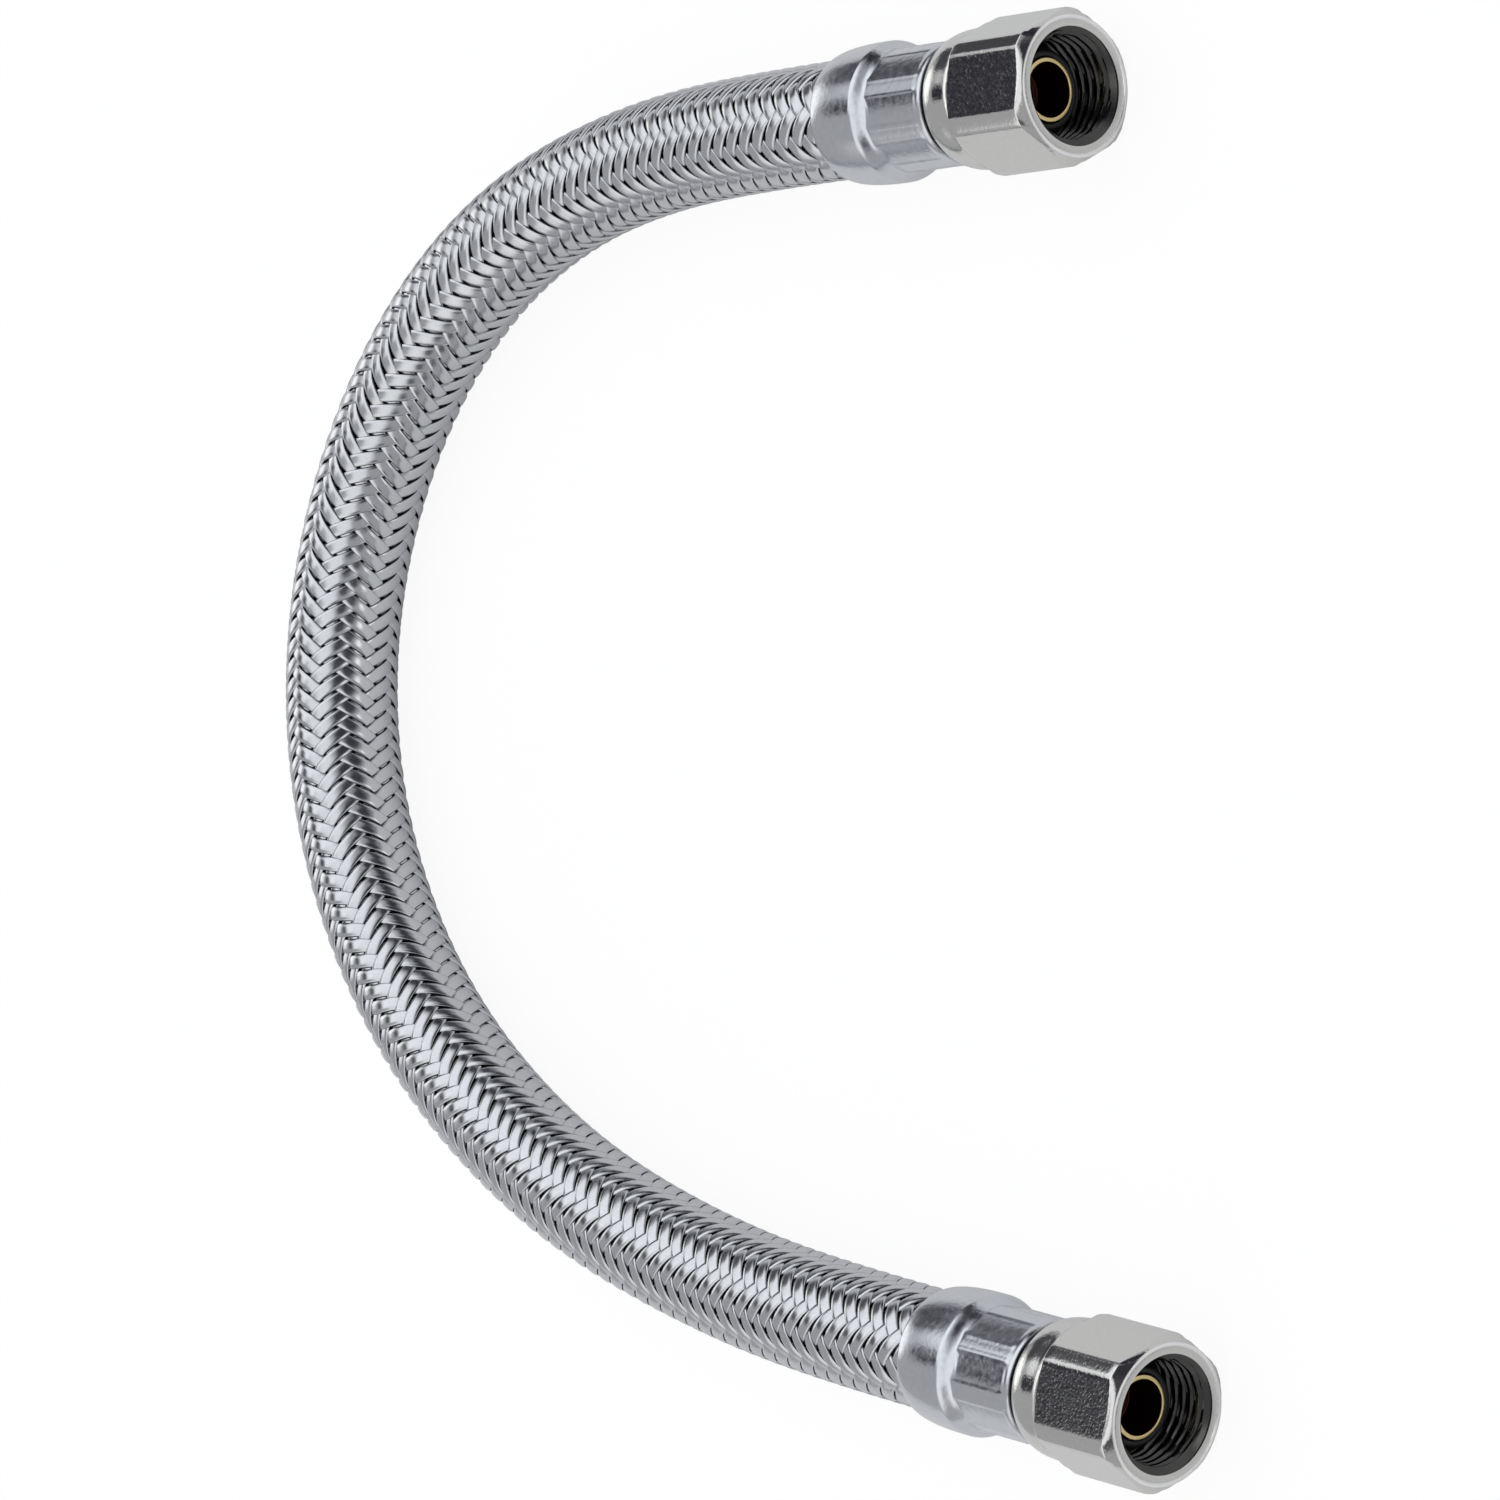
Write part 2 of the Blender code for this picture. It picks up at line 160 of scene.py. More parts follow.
def braid_radius(place):
    """Outer radius of the braid at a distance along the hose."""
    crimp = CRIMP_END - HOSE_END
    mouth = FERRULE_MOUTH - HOSE_END
    stations = (0.0, crimp, mouth, mouth + MOUTH_NECK_LENGTH)
    radii = (BRAID_CRIMPED_RADIUS, BRAID_CRIMPED_RADIUS, BRAID_MOUTH_RADIUS, BRAID_RADIUS)
    return np.interp(np.minimum(place, hose_length - place), stations, radii)


def on_hose(place, angle, radius):
    """Points round the hose; the angle runs from its top towards the inside of the bend."""
    def blend(values):
        return np.stack([np.interp(place, hose_run, values[:, axis]) for axis in range(3)], axis=-1)
    outward = (blend(hose_upward) * np.cos(angle)[..., None]
               + blend(hose_inside) * np.sin(angle)[..., None])
    return blend(hose_centres) + outward * radius[..., None]


def add_mesh(name, grids, material, body, closed_along=False):
    """One mesh of grids of points (along, around, 3), each closed around, with its ends closed."""
    points = []
    corners = []
    sizes = []
    offset = 0
    for grid in grids:
        along, around = grid.shape[:2]
        index = np.arange(along * around).reshape(along, around) + offset
        after = np.roll(index, -1, axis=1)
        if closed_along:
            ahead = np.roll(index, -1, axis=0)
            quads = np.stack([index, after, np.roll(ahead, -1, axis=1), ahead], axis=-1)
        else:
            quads = np.stack([index[:-1], after[:-1], after[1:], index[1:]], axis=-1)
        corners.append(quads.reshape(-1))
        sizes.append(np.full(quads.size // 4, 4))
        if not closed_along:
            corners += [index[0][::-1], index[-1]]
            sizes.append(np.full(2, around))
        points.append(grid.reshape(-1, 3))
        offset += along * around
    points = np.concatenate(points)
    corners = np.concatenate(corners)
    sizes = np.concatenate(sizes)
    mesh = bpy.data.meshes.new(name)
    mesh.vertices.add(len(points))
    mesh.vertices.foreach_set("co", points.astype(np.float32).ravel())
    mesh.loops.add(len(corners))
    mesh.loops.foreach_set("vertex_index", corners.astype(np.int32))
    mesh.polygons.add(len(sizes))
    starts = np.concatenate([[0], np.cumsum(sizes)[:-1]])
    mesh.polygons.foreach_set("loop_start", starts.astype(np.int32))
    mesh.update(calc_edges=True)
    mesh.validate()
    mesh.shade_smooth()
    piece = bpy.data.objects.new(name, mesh)
    bpy.context.scene.collection.objects.link(piece)
    piece.data.materials.append(material)
    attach(piece, body)
    return piece


PIT_FLOOR_REACH = 0.15
PIT_RIM_REACH = 0.45


def handling_marks():
    """Node group: the fine rubs, smudges and pits that a handled surface carries."""
    group = bpy.data.node_groups.new("handling_marks", "ShaderNodeTree")
    face = group.interface
    for name, start in (("Base Roughness", 0.3), ("Smudge Size", 300.0), ("Smudge Depth", 0.1),
                        ("Rub Size", 2500.0), ("Shade Depth", 0.08), ("Pit Depth", 0.0)):
        face.new_socket(name, in_out="INPUT", socket_type="NodeSocketFloat").default_value = start
    face.new_socket("Colour", in_out="INPUT", socket_type="NodeSocketColor")
    face.new_socket("Colour", in_out="OUTPUT", socket_type="NodeSocketColor")
    face.new_socket("Roughness", in_out="OUTPUT", socket_type="NodeSocketFloat")
    face.new_socket("Height", in_out="OUTPUT", socket_type="NodeSocketFloat")
    nodes, links = group.nodes, group.links
    inside = nodes.new("NodeGroupInput")
    outside = nodes.new("NodeGroupOutput")
    place = nodes.new("ShaderNodeTexCoord")
    smudges = nodes.new("ShaderNodeTexNoise")
    smudges.inputs["Detail"].default_value = 4.0
    links.new(place.outputs["Object"], smudges.inputs["Vector"])
    links.new(inside.outputs["Smudge Size"], smudges.inputs["Scale"])
    rubs = nodes.new("ShaderNodeTexNoise")
    rubs.inputs["Detail"].default_value = 3.0
    links.new(place.outputs["Object"], rubs.inputs["Vector"])
    links.new(inside.outputs["Rub Size"], rubs.inputs["Scale"])

    centred = nodes.new("ShaderNodeMath")
    centred.operation = "SUBTRACT"
    links.new(smudges.outputs["Fac"], centred.inputs[0])
    centred.inputs[1].default_value = 0.5
    rougher = nodes.new("ShaderNodeMath")
    rougher.operation = "MULTIPLY_ADD"
    links.new(centred.outputs[0], rougher.inputs[0])
    links.new(inside.outputs["Smudge Depth"], rougher.inputs[1])
    links.new(inside.outputs["Base Roughness"], rougher.inputs[2])
    links.new(rougher.outputs[0], outside.inputs["Roughness"])

    darker = nodes.new("ShaderNodeMath")
    darker.operation = "MULTIPLY_ADD"
    links.new(rubs.outputs["Fac"], darker.inputs[0])
    links.new(inside.outputs["Shade Depth"], darker.inputs[1])
    darker.inputs[2].default_value = 0.0
    shade = nodes.new("ShaderNodeMix")
    shade.data_type = "RGBA"
    links.new(darker.outputs[0], shade.inputs["Factor"])
    links.new(inside.outputs["Colour"], shade.inputs["A"])
    shade.inputs["B"].default_value = (0.0, 0.0, 0.0, 1.0)
    links.new(shade.outputs["Result"], outside.inputs["Colour"])

    pits = nodes.new("ShaderNodeTexVoronoi")
    links.new(place.outputs["Object"], pits.inputs["Vector"])
    links.new(inside.outputs["Rub Size"], pits.inputs["Scale"])
    pit = nodes.new("ShaderNodeMapRange")
    pit.inputs["From Min"].default_value = PIT_FLOOR_REACH
    pit.inputs["From Max"].default_value = PIT_RIM_REACH
    pit.inputs["To Min"].default_value = -1.0
    pit.inputs["To Max"].default_value = 0.0
    links.new(pits.outputs["Distance"], pit.inputs["Value"])
    level = nodes.new("ShaderNodeMath")
    level.operation = "MULTIPLY_ADD"
    links.new(pit.outputs["Result"], level.inputs[0])
    links.new(inside.outputs["Pit Depth"], level.inputs[1])
    links.new(rubs.outputs["Fac"], level.inputs[2])
    links.new(level.outputs[0], outside.inputs["Height"])
    return group


MARKS = handling_marks()


def handled_material(name, colour, roughness, smudge_size, smudge_depth, rub_size, shade_depth,
                     bump_depth, pit_depth=0.0, metallic=1.0):
    """A surface, bare metal unless said otherwise, whose finish carries the handling marks."""
    material = bpy.data.materials.new(name)
    material.use_nodes = True
    nodes, links = material.node_tree.nodes, material.node_tree.links
    shader = nodes["Principled BSDF"]
    shader.inputs["Metallic"].default_value = metallic
    marks = nodes.new("ShaderNodeGroup")
    marks.node_tree = MARKS
    marks.inputs["Colour"].default_value = (*colour, 1.0)
    marks.inputs["Base Roughness"].default_value = roughness
    marks.inputs["Smudge Size"].default_value = smudge_size
    marks.inputs["Smudge Depth"].default_value = smudge_depth
    marks.inputs["Rub Size"].default_value = rub_size
    marks.inputs["Shade Depth"].default_value = shade_depth
    marks.inputs["Pit Depth"].default_value = pit_depth
    bump = nodes.new("ShaderNodeBump")
    bump.inputs["Strength"].default_value = 1.0
    bump.inputs["Distance"].default_value = bump_depth
    links.new(marks.outputs["Colour"], shader.inputs["Base Color"])
    links.new(marks.outputs["Roughness"], shader.inputs["Roughness"])
    links.new(marks.outputs["Height"], bump.inputs["Height"])
    links.new(bump.outputs["Normal"], shader.inputs["Normal"])
    return material


tube_plastic = handled_material(
    "tube_plastic", (0.022, 0.023, 0.026), roughness=0.55, smudge_size=400.0, smudge_depth=0.1,
    rub_size=3000.0, shade_depth=0.1, bump_depth=0.004 * MM, metallic=0.0)
tube_places = np.linspace(0.0, hose_length, TUBE_PLACES)
tube_angles = np.arange(TUBE_SIDES) * math.tau / TUBE_SIDES
place_grid, angle_grid = np.meshgrid(tube_places, tube_angles, indexing="ij")
tube_skin = on_hose(place_grid, angle_grid, braid_radius(place_grid) - TUBE_BELOW_BRAID)
tube_bore = on_hose(place_grid, angle_grid, np.full(place_grid.shape, TUBE_BORE_RADIUS))
tube_grid = np.concatenate([tube_skin, tube_bore[::-1]])[:, ::-1]
inner_tube = add_mesh("inner_tube", [tube_grid], tube_plastic, "hose", closed_along=True)
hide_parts("hose_liner")


# Wire braid
# Twenty-four flat strands of seven bright steel wires each, half of them wound each way and
# woven two over, two under. Its cut ends are held in the crimped ferrules.
STRANDS_EACH_WAY = 12
TURN_LENGTH = 24.5 * MM
WEAVE_START = math.radians(0.5)
HOSE_TWIST = math.radians(-14.0)
WIRES_IN_STRAND = 7
STRAND_WIDTH = 1.48 * MM
WIRE_THICKNESS = 0.22 * MM
WIRE_VALLEY = 0.022 * MM
STRAND_CROWN = 0.15 * MM
STRAND_UNDERSIDE = 0.44
WEAVE_LIFT = 0.19 * MM
WEAVE_FULLNESS = 1.1
STEPS_AT_CROSSING = 3
STRANDS_IN_PIECE = 6
turn_rate = math.tau / TURN_LENGTH


def weave_height(phase):
    """1 where a strand passes over the others and -1 where it passes under, smooth between."""
    wave = np.cos(math.pi / 2 * (phase - 0.5))
    return np.sin(WEAVE_FULLNESS * wave) / math.sin(WEAVE_FULLNESS)


def strand(number, hand):
    """Grid of points along one strand: its ridged upper side, and a flat underside."""
    crossings = 2 * STRANDS_EACH_WAY * hose_length / TURN_LENGTH
    places = np.linspace(0.0, hose_length, round(crossings * STEPS_AT_CROSSING) + 1)
    upper_across = np.linspace(-0.5, 0.5, 2 * WIRES_IN_STRAND + 1)
    valleys = np.where(np.arange(len(upper_across)) % 2 == 0, -WIRE_VALLEY, 0.0)
    upper_level = WIRE_THICKNESS / 2 + valleys - STRAND_CROWN * (2 * upper_across)**4
    across = np.concatenate([upper_across, [STRAND_UNDERSIDE, -STRAND_UNDERSIDE]]) * STRAND_WIDTH
    level = np.concatenate([upper_level, [-WIRE_THICKNESS / 2, -WIRE_THICKNESS / 2]])
    middle = BRAID_RADIUS - WEAVE_LIFT - WIRE_THICKNESS / 2
    slope = turn_rate * middle
    lean = math.hypot(1.0, slope)
    place = places[:, None] - hand * slope / lean * across[None, :]
    place = np.clip(place, 0.0, hose_length)
    start_angle = number * math.tau / STRANDS_EACH_WAY - WEAVE_START
    angle = start_angle + hand * turn_rate * places[:, None] + across[None, :] / (middle * lean)
    lattice = STRANDS_EACH_WAY / math.tau
    crossed = lattice * (angle + WEAVE_START + hand * turn_rate * place)
    height = hand * WEAVE_LIFT * weave_height(crossed + number)
    radius = braid_radius(place) - WEAVE_LIFT - WIRE_THICKNESS / 2 + height + level[None, :]
    twist = HOSE_TWIST * (place / hose_length - 0.5)
    return on_hose(place, angle + twist, radius)[:, ::-1]


braid_wire = handled_material(
    "braid_wire", (0.66, 0.67, 0.69), roughness=0.20, smudge_size=700.0, smudge_depth=0.14,
    rub_size=4000.0, shade_depth=0.12, bump_depth=0.002 * MM)
for hand, way in ((1, "inward"), (-1, "outward")):
    for first in range(0, STRANDS_EACH_WAY, STRANDS_IN_PIECE):
        strands = [strand(number, hand) for number in range(first, first + STRANDS_IN_PIECE)]
        piece = add_mesh(f"braid_{way}_{first // STRANDS_IN_PIECE + 1}", strands,
                         braid_wire, "hose")
        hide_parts("braid_sleeve")

[tuple(point) for point in on_hose(tube_places, 0 * tube_places, 0 * tube_places)]


# Ferrules
# A drawn stainless cup over each end of the braid. Eight jaws press its neck into flats, with
# a fine ridge left between each two jaws, and its rim stays round.
FERRULE_START = 15.6 * MM
FERRULE_END_WALL = 1.2 * MM
FERRULE_HOLE_RADIUS = 3.475 * MM
LIP_RADIUS = 6.2 * MM
LIP_END = 16.6 * MM
FLAT_RADIUS = 6.05 * MM
CORNER_RADIUS = 6.27 * MM
SHOULDER_END = 25.2 * MM
CROWN_END = 26.2 * MM
CROWN_RADIUS = 7.0 * MM
MOUTH_RADIUS = 6.3 * MM
FERRULE_WALL = 0.6 * MM
JAWS = 8
JAW_RIDGE = 0.05 * MM
JAW_HOLLOW = 0.45
JAW_RIDGE_HALF = 0.05 * MM
JAW_RIDGE_FOOT = 0.25 * MM
JAW_START = 0.3 * MM
JAW_FADE = (0.2 * MM, 0.3 * MM)
CRIMP_TURN = {"inlet": math.radians(-9.5), "outlet": math.radians(2.0)}
CRIMP_BORE_GAP = 0.1 * MM
MOUTH_BORE_GAP = 0.15 * MM
FERRULE_SOFTNESS = 0.22 * MM
FERRULE_STEP = 0.5 * MM
FERRULE_SIDES = 200
SHOULDER_STEPS = 12
CROWN_STEPS = 14
SHARP_ANGLE = math.radians(40.0)
HAIR = 0.01 * MM


def softened(outline, radius, steps=3):
    """Closed outline of (depth, radius) points with each corner rounded off."""
    outline = [np.array(point) for point in outline]
    points = []
    for i, corner in enumerate(outline):
        before = outline[i - 1] - corner
        after = outline[(i + 1) % len(outline)] - corner
        reach = min(radius, 0.45 * np.linalg.norm(before), 0.45 * np.linalg.norm(after))
        start = corner + before / np.linalg.norm(before) * reach
        end = corner + after / np.linalg.norm(after) * reach
        for t in np.linspace(0.0, 1.0, steps + 1):
            points.append((1 - t)**2 * start + 2 * t * (1 - t) * corner + t**2 * end)
    return points


def divided(outline, step):
    """Closed outline with points added so that none are further apart than step."""
    points = []
    for i, point in enumerate(outline):
        after = outline[(i + 1) % len(outline)]
        count = max(1, math.ceil(np.linalg.norm(after - point) / step - 0.01))
        points += [point + (after - point) * share / count for share in range(count)]
    return points


def rounded_run(start, end, steps):
    """Elliptic quarter from one (depth, radius) point to another, without its first point."""
    angles = np.linspace(0.0, math.pi / 2, steps + 1)[1:]
    return [(start[0] + (end[0] - start[0]) * math.sin(angle),
             start[1] + (end[1] - start[1]) * (1 - math.cos(angle))) for angle in angles]


def turned_grid(end, outline, sides, shape=None):
    """Outline spun round a fitting's axis, each radius changed by shape(depth, radius, angle)."""
    outline = np.array(outline)
    angles = np.arange(sides) * math.tau / sides
    depth, angle = np.meshgrid(outline[:, 0], angles, indexing="ij")
    radius = np.repeat(outline[:, 1:], sides, axis=1)
    if shape:
        radius = shape(depth, radius, angle)
    turn = FITTING_TURN[end]
    sideways = radius * np.sin(angle)
    x = FITTING_FACE[end][0] - depth * math.cos(turn) - sideways * math.sin(turn)
    y = FITTING_FACE[end][1] - depth * math.sin(turn) + sideways * math.cos(turn)
    return np.stack([x, y, AXIS_HEIGHT + radius * np.cos(angle)], axis=-1)


def soft_rise(value, start, end):
    """0 before start and 1 after end, with an even, rounded rise between them."""
    t = np.clip((value - start) / (end - start), 0.0, 1.0)
    return t * t * (3 - 2 * t)


def ferrule_outline():
    """Closed outline of a ferrule: outside from end wall to mouth, then back along its bore."""
    crimp_bore = BRAID_CRIMPED_RADIUS + CRIMP_BORE_GAP
    mouth_bore = BRAID_MOUTH_RADIUS + MOUTH_BORE_GAP
    rise = np.linspace(0.0, 1.0, SHOULDER_STEPS + 1)[1:]
    outline = [(FERRULE_START, FERRULE_HOLE_RADIUS), (FERRULE_START, LIP_RADIUS),
               (LIP_END, LIP_RADIUS), (CRIMP_END, LIP_RADIUS)]
    outline += [(CRIMP_END + (SHOULDER_END - CRIMP_END) * t,
                 LIP_RADIUS + (CROWN_RADIUS - LIP_RADIUS) * (1 - math.cos(math.pi * t)) / 2)
                for t in rise]
    outline += [(CROWN_END, CROWN_RADIUS)]
    outline += rounded_run((CROWN_END, CROWN_RADIUS), (FERRULE_MOUTH, MOUTH_RADIUS), CROWN_STEPS)
    outline += [
        (FERRULE_MOUTH, mouth_bore),
        (CROWN_END, CROWN_RADIUS - FERRULE_WALL),
        (SHOULDER_END, CROWN_RADIUS - FERRULE_WALL),
        (CRIMP_END, crimp_bore),
        (FERRULE_START + FERRULE_END_WALL, crimp_bore),
        (FERRULE_START + FERRULE_END_WALL, FERRULE_HOLE_RADIUS),
    ]
    return divided(softened(outline, FERRULE_SOFTNESS, 2), FERRULE_STEP)


def pressed(depth, radius, angle):
    """Press the neck of a ferrule flat under each jaw, and leave a ridge along each jaw's edge."""
    sector = math.tau / JAWS
    from_middle = (angle + sector / 2) % sector - sector / 2
    flat = np.minimum(FLAT_RADIUS / np.cos(from_middle), CORNER_RADIUS)
    flat = JAW_HOLLOW * (FLAT_RADIUS + CORNER_RADIUS) / 2 + (1 - JAW_HOLLOW) * flat
    jaw_edge = math.acos(FLAT_RADIUS / CORNER_RADIUS)
    from_edge = np.abs(np.abs(from_middle) - jaw_edge) * FLAT_RADIUS
    flat = flat + JAW_RIDGE * (1 - soft_rise(from_edge, JAW_RIDGE_HALF, JAW_RIDGE_FOOT))
    share = soft_rise(depth, LIP_END - JAW_START, LIP_END)
    share = share * (1 - soft_rise(depth, CRIMP_END - JAW_FADE[0], CRIMP_END + JAW_FADE[1]))
    outer = radius > LIP_RADIUS - HAIR
    return np.where(outer, radius + (flat - LIP_RADIUS) * share, radius)


ferrule_steel = handled_material(
    "ferrule_steel", (0.70, 0.715, 0.75), roughness=0.20, smudge_size=1500.0, smudge_depth=0.26,
    rub_size=1800.0, shade_depth=0.12, bump_depth=0.014 * MM, pit_depth=0.15)
for end in ("inlet", "outlet"):
    ferrule = add_mesh(end + "_ferrule_cup",
                       [turned_grid(end, ferrule_outline(), FERRULE_SIDES,
                                    lambda depth, radius, angle, turn=CRIMP_TURN[end]:
                                    pressed(depth, radius, angle - turn))],
                       ferrule_steel, "hose", closed_along=True)
    ferrule.data.set_sharp_from_angle(angle=SHARP_ANGLE)
    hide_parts(end + "_ferrule")


# Stems
# A turned brass insert holds each end together. Its thin nose shows in the middle of the nut
# and takes the water, its collar carries the nut, and its barbs hold the inner tube.
NOSE_RADIUS = 3.175 * MM
NOSE_WALL = 0.5 * MM
NOSE_RECESS = 3.7 * MM
COLLAR_RADIUS = 4.6 * MM
COLLAR_BACK = 8.3 * MM
COLLAR_FRONT = 6.8 * MM
STEM_BORE_RADIUS = 2.1 * MM
STEM_END = 30.9 * MM
FIRST_BARB = 17.4 * MM
BARBS = 4
BARB_RADIUS = 2.95 * MM
BARB_ROOT_RADIUS = 2.7 * MM
NOSE_LIP = 0.12 * MM
STEM_STEP = 1.5 * MM
STEM_SIDES = 96

brass = handled_material(
    "turned_brass", (0.86, 0.68, 0.33), roughness=0.22, smudge_size=600.0, smudge_depth=0.12,
    rub_size=4000.0, shade_depth=0.1, bump_depth=0.003 * MM)
# The stem's bore is painted near-black: painted shade of the deep bore, over the maroon tint of
# oxidised brass.
bore_brass_painted_shade = handled_material(
    "bore_brass_painted_shade", (0.12, 0.05, 0.035), roughness=0.45, smudge_size=600.0, smudge_depth=0.12,
    rub_size=4000.0, shade_depth=0.1, bump_depth=0.003 * MM)


def give_faces_material(mesh, end, material, depths, radii):
    """Give a fitting's faces between two depths and between two radii a material of their own, used
    here for painted shade in bores and a painted highlight on the nut's face ring.
    """
    mesh.materials.append(material)
    turn = FITTING_TURN[end]
    inward = Vector((-math.cos(turn), -math.sin(turn), 0.0))
    middle = Vector((*FITTING_FACE[end], AXIS_HEIGHT))
    for face in mesh.polygons:
        offset = face.center - middle
        depth = offset.dot(inward)
        radius = (offset - depth * inward).length
        if depths[0] < depth < depths[1] and radii[0] < radius < radii[1]:
            face.material_index = len(mesh.materials) - 1


def stem_outline():
    """Closed outline of a stem: outside from nose to tail, then back along its bore."""
    neck_end = FERRULE_START + FERRULE_END_WALL
    outline = [
        (NOSE_RECESS, NOSE_RADIUS - NOSE_WALL),
        (NOSE_RECESS, NOSE_RADIUS),
        (COLLAR_FRONT, NOSE_RADIUS),
        (COLLAR_FRONT, COLLAR_RADIUS),
        (COLLAR_BACK, COLLAR_RADIUS),
        (COLLAR_BACK, NOSE_RADIUS),
        (neck_end, NOSE_RADIUS),
        (neck_end, BARB_ROOT_RADIUS),
    ]
    for barb in range(BARBS):
        ridge = FIRST_BARB + barb * (STEM_END - FIRST_BARB) / BARBS
        outline += [(ridge, BARB_ROOT_RADIUS), (ridge, BARB_RADIUS)]
    outline += [
        (STEM_END, BARB_ROOT_RADIUS),
        (STEM_END, STEM_BORE_RADIUS),
        (COLLAR_BACK, STEM_BORE_RADIUS),
        (COLLAR_BACK, NOSE_RADIUS - NOSE_WALL),
    ]
    return divided(softened(outline, NOSE_LIP), STEM_STEP)


for end in ("inlet", "outlet"):
    stem = add_mesh(end + "_stem_insert", [turned_grid(end, stem_outline(), STEM_SIDES)],
                    brass, "hose", closed_along=True)
    stem.data.set_sharp_from_angle(angle=SHARP_ANGLE)
    # Faces inside the stem's bore get the painted shade.
    give_faces_material(stem.data, end, bore_brass_painted_shade, (NOSE_RECESS + NOSE_LIP, STEM_END),
                 (0.0, BARB_ROOT_RADIUS - HAIR))
    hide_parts(end + "_stem")


# Cone seals
# A moulded black rubber cone fits round each brass nose, against the collar, and seals the
# joint when the nut is tightened.
SEAL_TIP_DEPTH = 3.9 * MM
SEAL_BASE_DEPTH = 6.5 * MM
SEAL_BORE_RADIUS = 3.24 * MM
SEAL_TIP_RADIUS = 3.8 * MM
SEAL_BASE_RADIUS = 4.75 * MM
SEAL_BASE_LENGTH = 0.8 * MM
SEAL_SOFTNESS = 0.2 * MM
SEAL_STEP = 0.5 * MM
SEAL_SIDES = 96

rubber = handled_material(
    "seal_rubber", (0.012, 0.012, 0.014), roughness=0.5, smudge_size=500.0, smudge_depth=0.15,
    rub_size=3000.0, shade_depth=0.1, bump_depth=0.004 * MM, metallic=0.0)
seal_corners = [
    (SEAL_TIP_DEPTH, SEAL_BORE_RADIUS),
    (SEAL_TIP_DEPTH, SEAL_TIP_RADIUS),
    (SEAL_BASE_DEPTH - SEAL_BASE_LENGTH, SEAL_BASE_RADIUS),
    (SEAL_BASE_DEPTH, SEAL_BASE_RADIUS),
    (SEAL_BASE_DEPTH, SEAL_BORE_RADIUS),
]
for end in ("inlet", "outlet"):
    seal_outline = divided(softened(seal_corners, SEAL_SOFTNESS), SEAL_STEP)
    seal = add_mesh(end + "_cone_seal", [turned_grid(end, seal_outline, SEAL_SIDES)],
                    rubber, "hose", closed_along=True)
    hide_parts(end + "_seal")


# Nuts
# Each is milled from brass hexagon bar with its corners turned down, threaded inside, and
# plated bright. Its turned face ring is painted near-white, a painted highlight, and its bore
# is painted dark, a painted shade. It is held by the stem's collar and turns freely.
NUT_FLATS = 14.1 * MM
NUT_CORNER_RADIUS = 7.72 * MM
NUT_FACE_RADIUS = 6.9 * MM
NUT_CHAMFER_DEPTH = 0.9 * MM
NUT_RIM_DROP = 0.08 * MM
NUT_RIM_ROUND = 0.13 * MM
NUT_HEX_LENGTH = 11.3 * MM
NUT_COLLAR_END = 12.5 * MM
NUT_LENGTH = 15.2 * MM
NUT_TAIL_RADIUS = 5.9 * MM
NUT_MOUTH_RADIUS = 6.5 * MM
NUT_MOUTH_DEPTH = 0.85 * MM
NUT_SOCKET_DEPTH = 8.6 * MM
NUT_HOLE_RADIUS = 3.475 * MM
THREAD_CREST_RADIUS = 5.1 * MM
THREAD_ROOT_RADIUS = 5.56 * MM
THREAD_PITCH = 1.058 * MM
THREAD_ROOT_WIDTH = 0.13 * MM
THREAD_END = 7.9 * MM
THREAD_RUNOUT = 0.8 * MM
THREAD_HALF_ANGLE = math.radians(30.0)
THREAD_GAP = 0.1 * MM
STEPS_IN_PITCH = 11
CORNER_SOFTNESS = 0.09 * MM
EDGE_SOFTNESS = 0.10 * MM
TAIL_STEPS = 12
NUT_STEP = 0.8 * MM
NUT_SIDES = 180
# Faces in the nut's bore are painted dark: painted shade of the deep bore.
SHADED_BORE_DEPTHS = (NUT_RIM_DROP + 0.25 * MM, NUT_LENGTH - 0.5 * MM)
SHADED_BORE_RADII = (0.0, NUT_MOUTH_RADIUS - 0.3 * MM)
# Faces of the nut's face ring are painted near-white, a painted highlight.
HIGHLIGHT_RIM_DEPTHS = (-0.1 * MM, NUT_RIM_DROP)
HIGHLIGHT_RIM_RADII = (NUT_MOUTH_RADIUS - 0.02 * MM, NUT_FACE_RADIUS + 0.02 * MM)


def nut_outline():
    """Closed outline of a nut: round the outside from its mouth, then forward along its bore.

    The softened mouth loses its first point, which would lie behind the thread's last one.
    """
    tail_start = (NUT_COLLAR_END, NUT_FACE_RADIUS)
    outer = softened([
        (NUT_RIM_DROP, NUT_MOUTH_RADIUS),
        (0.0, NUT_MOUTH_RADIUS + NUT_RIM_ROUND),
        (0.0, NUT_FACE_RADIUS - NUT_RIM_ROUND),
        (NUT_RIM_DROP, NUT_FACE_RADIUS),
        (NUT_CHAMFER_DEPTH, NUT_CORNER_RADIUS),
        (NUT_HEX_LENGTH - NUT_CHAMFER_DEPTH, NUT_CORNER_RADIUS),
        (NUT_HEX_LENGTH, NUT_FACE_RADIUS),
        tail_start,
        *rounded_run(tail_start, (NUT_LENGTH, NUT_TAIL_RADIUS), TAIL_STEPS),
        (NUT_LENGTH, NUT_HOLE_RADIUS),
        (NUT_SOCKET_DEPTH, NUT_HOLE_RADIUS),
        (NUT_SOCKET_DEPTH, THREAD_CREST_RADIUS),
    ], CORNER_SOFTNESS, 2)[1:]
    steps = round(NUT_SOCKET_DEPTH / THREAD_PITCH * STEPS_IN_PITCH)
    depths = np.linspace(NUT_SOCKET_DEPTH - THREAD_GAP, NUT_RIM_DROP + THREAD_GAP, steps)
    thread = [np.array((depth, THREAD_CREST_RADIUS)) for depth in depths]
    return divided(outer + thread, NUT_STEP)


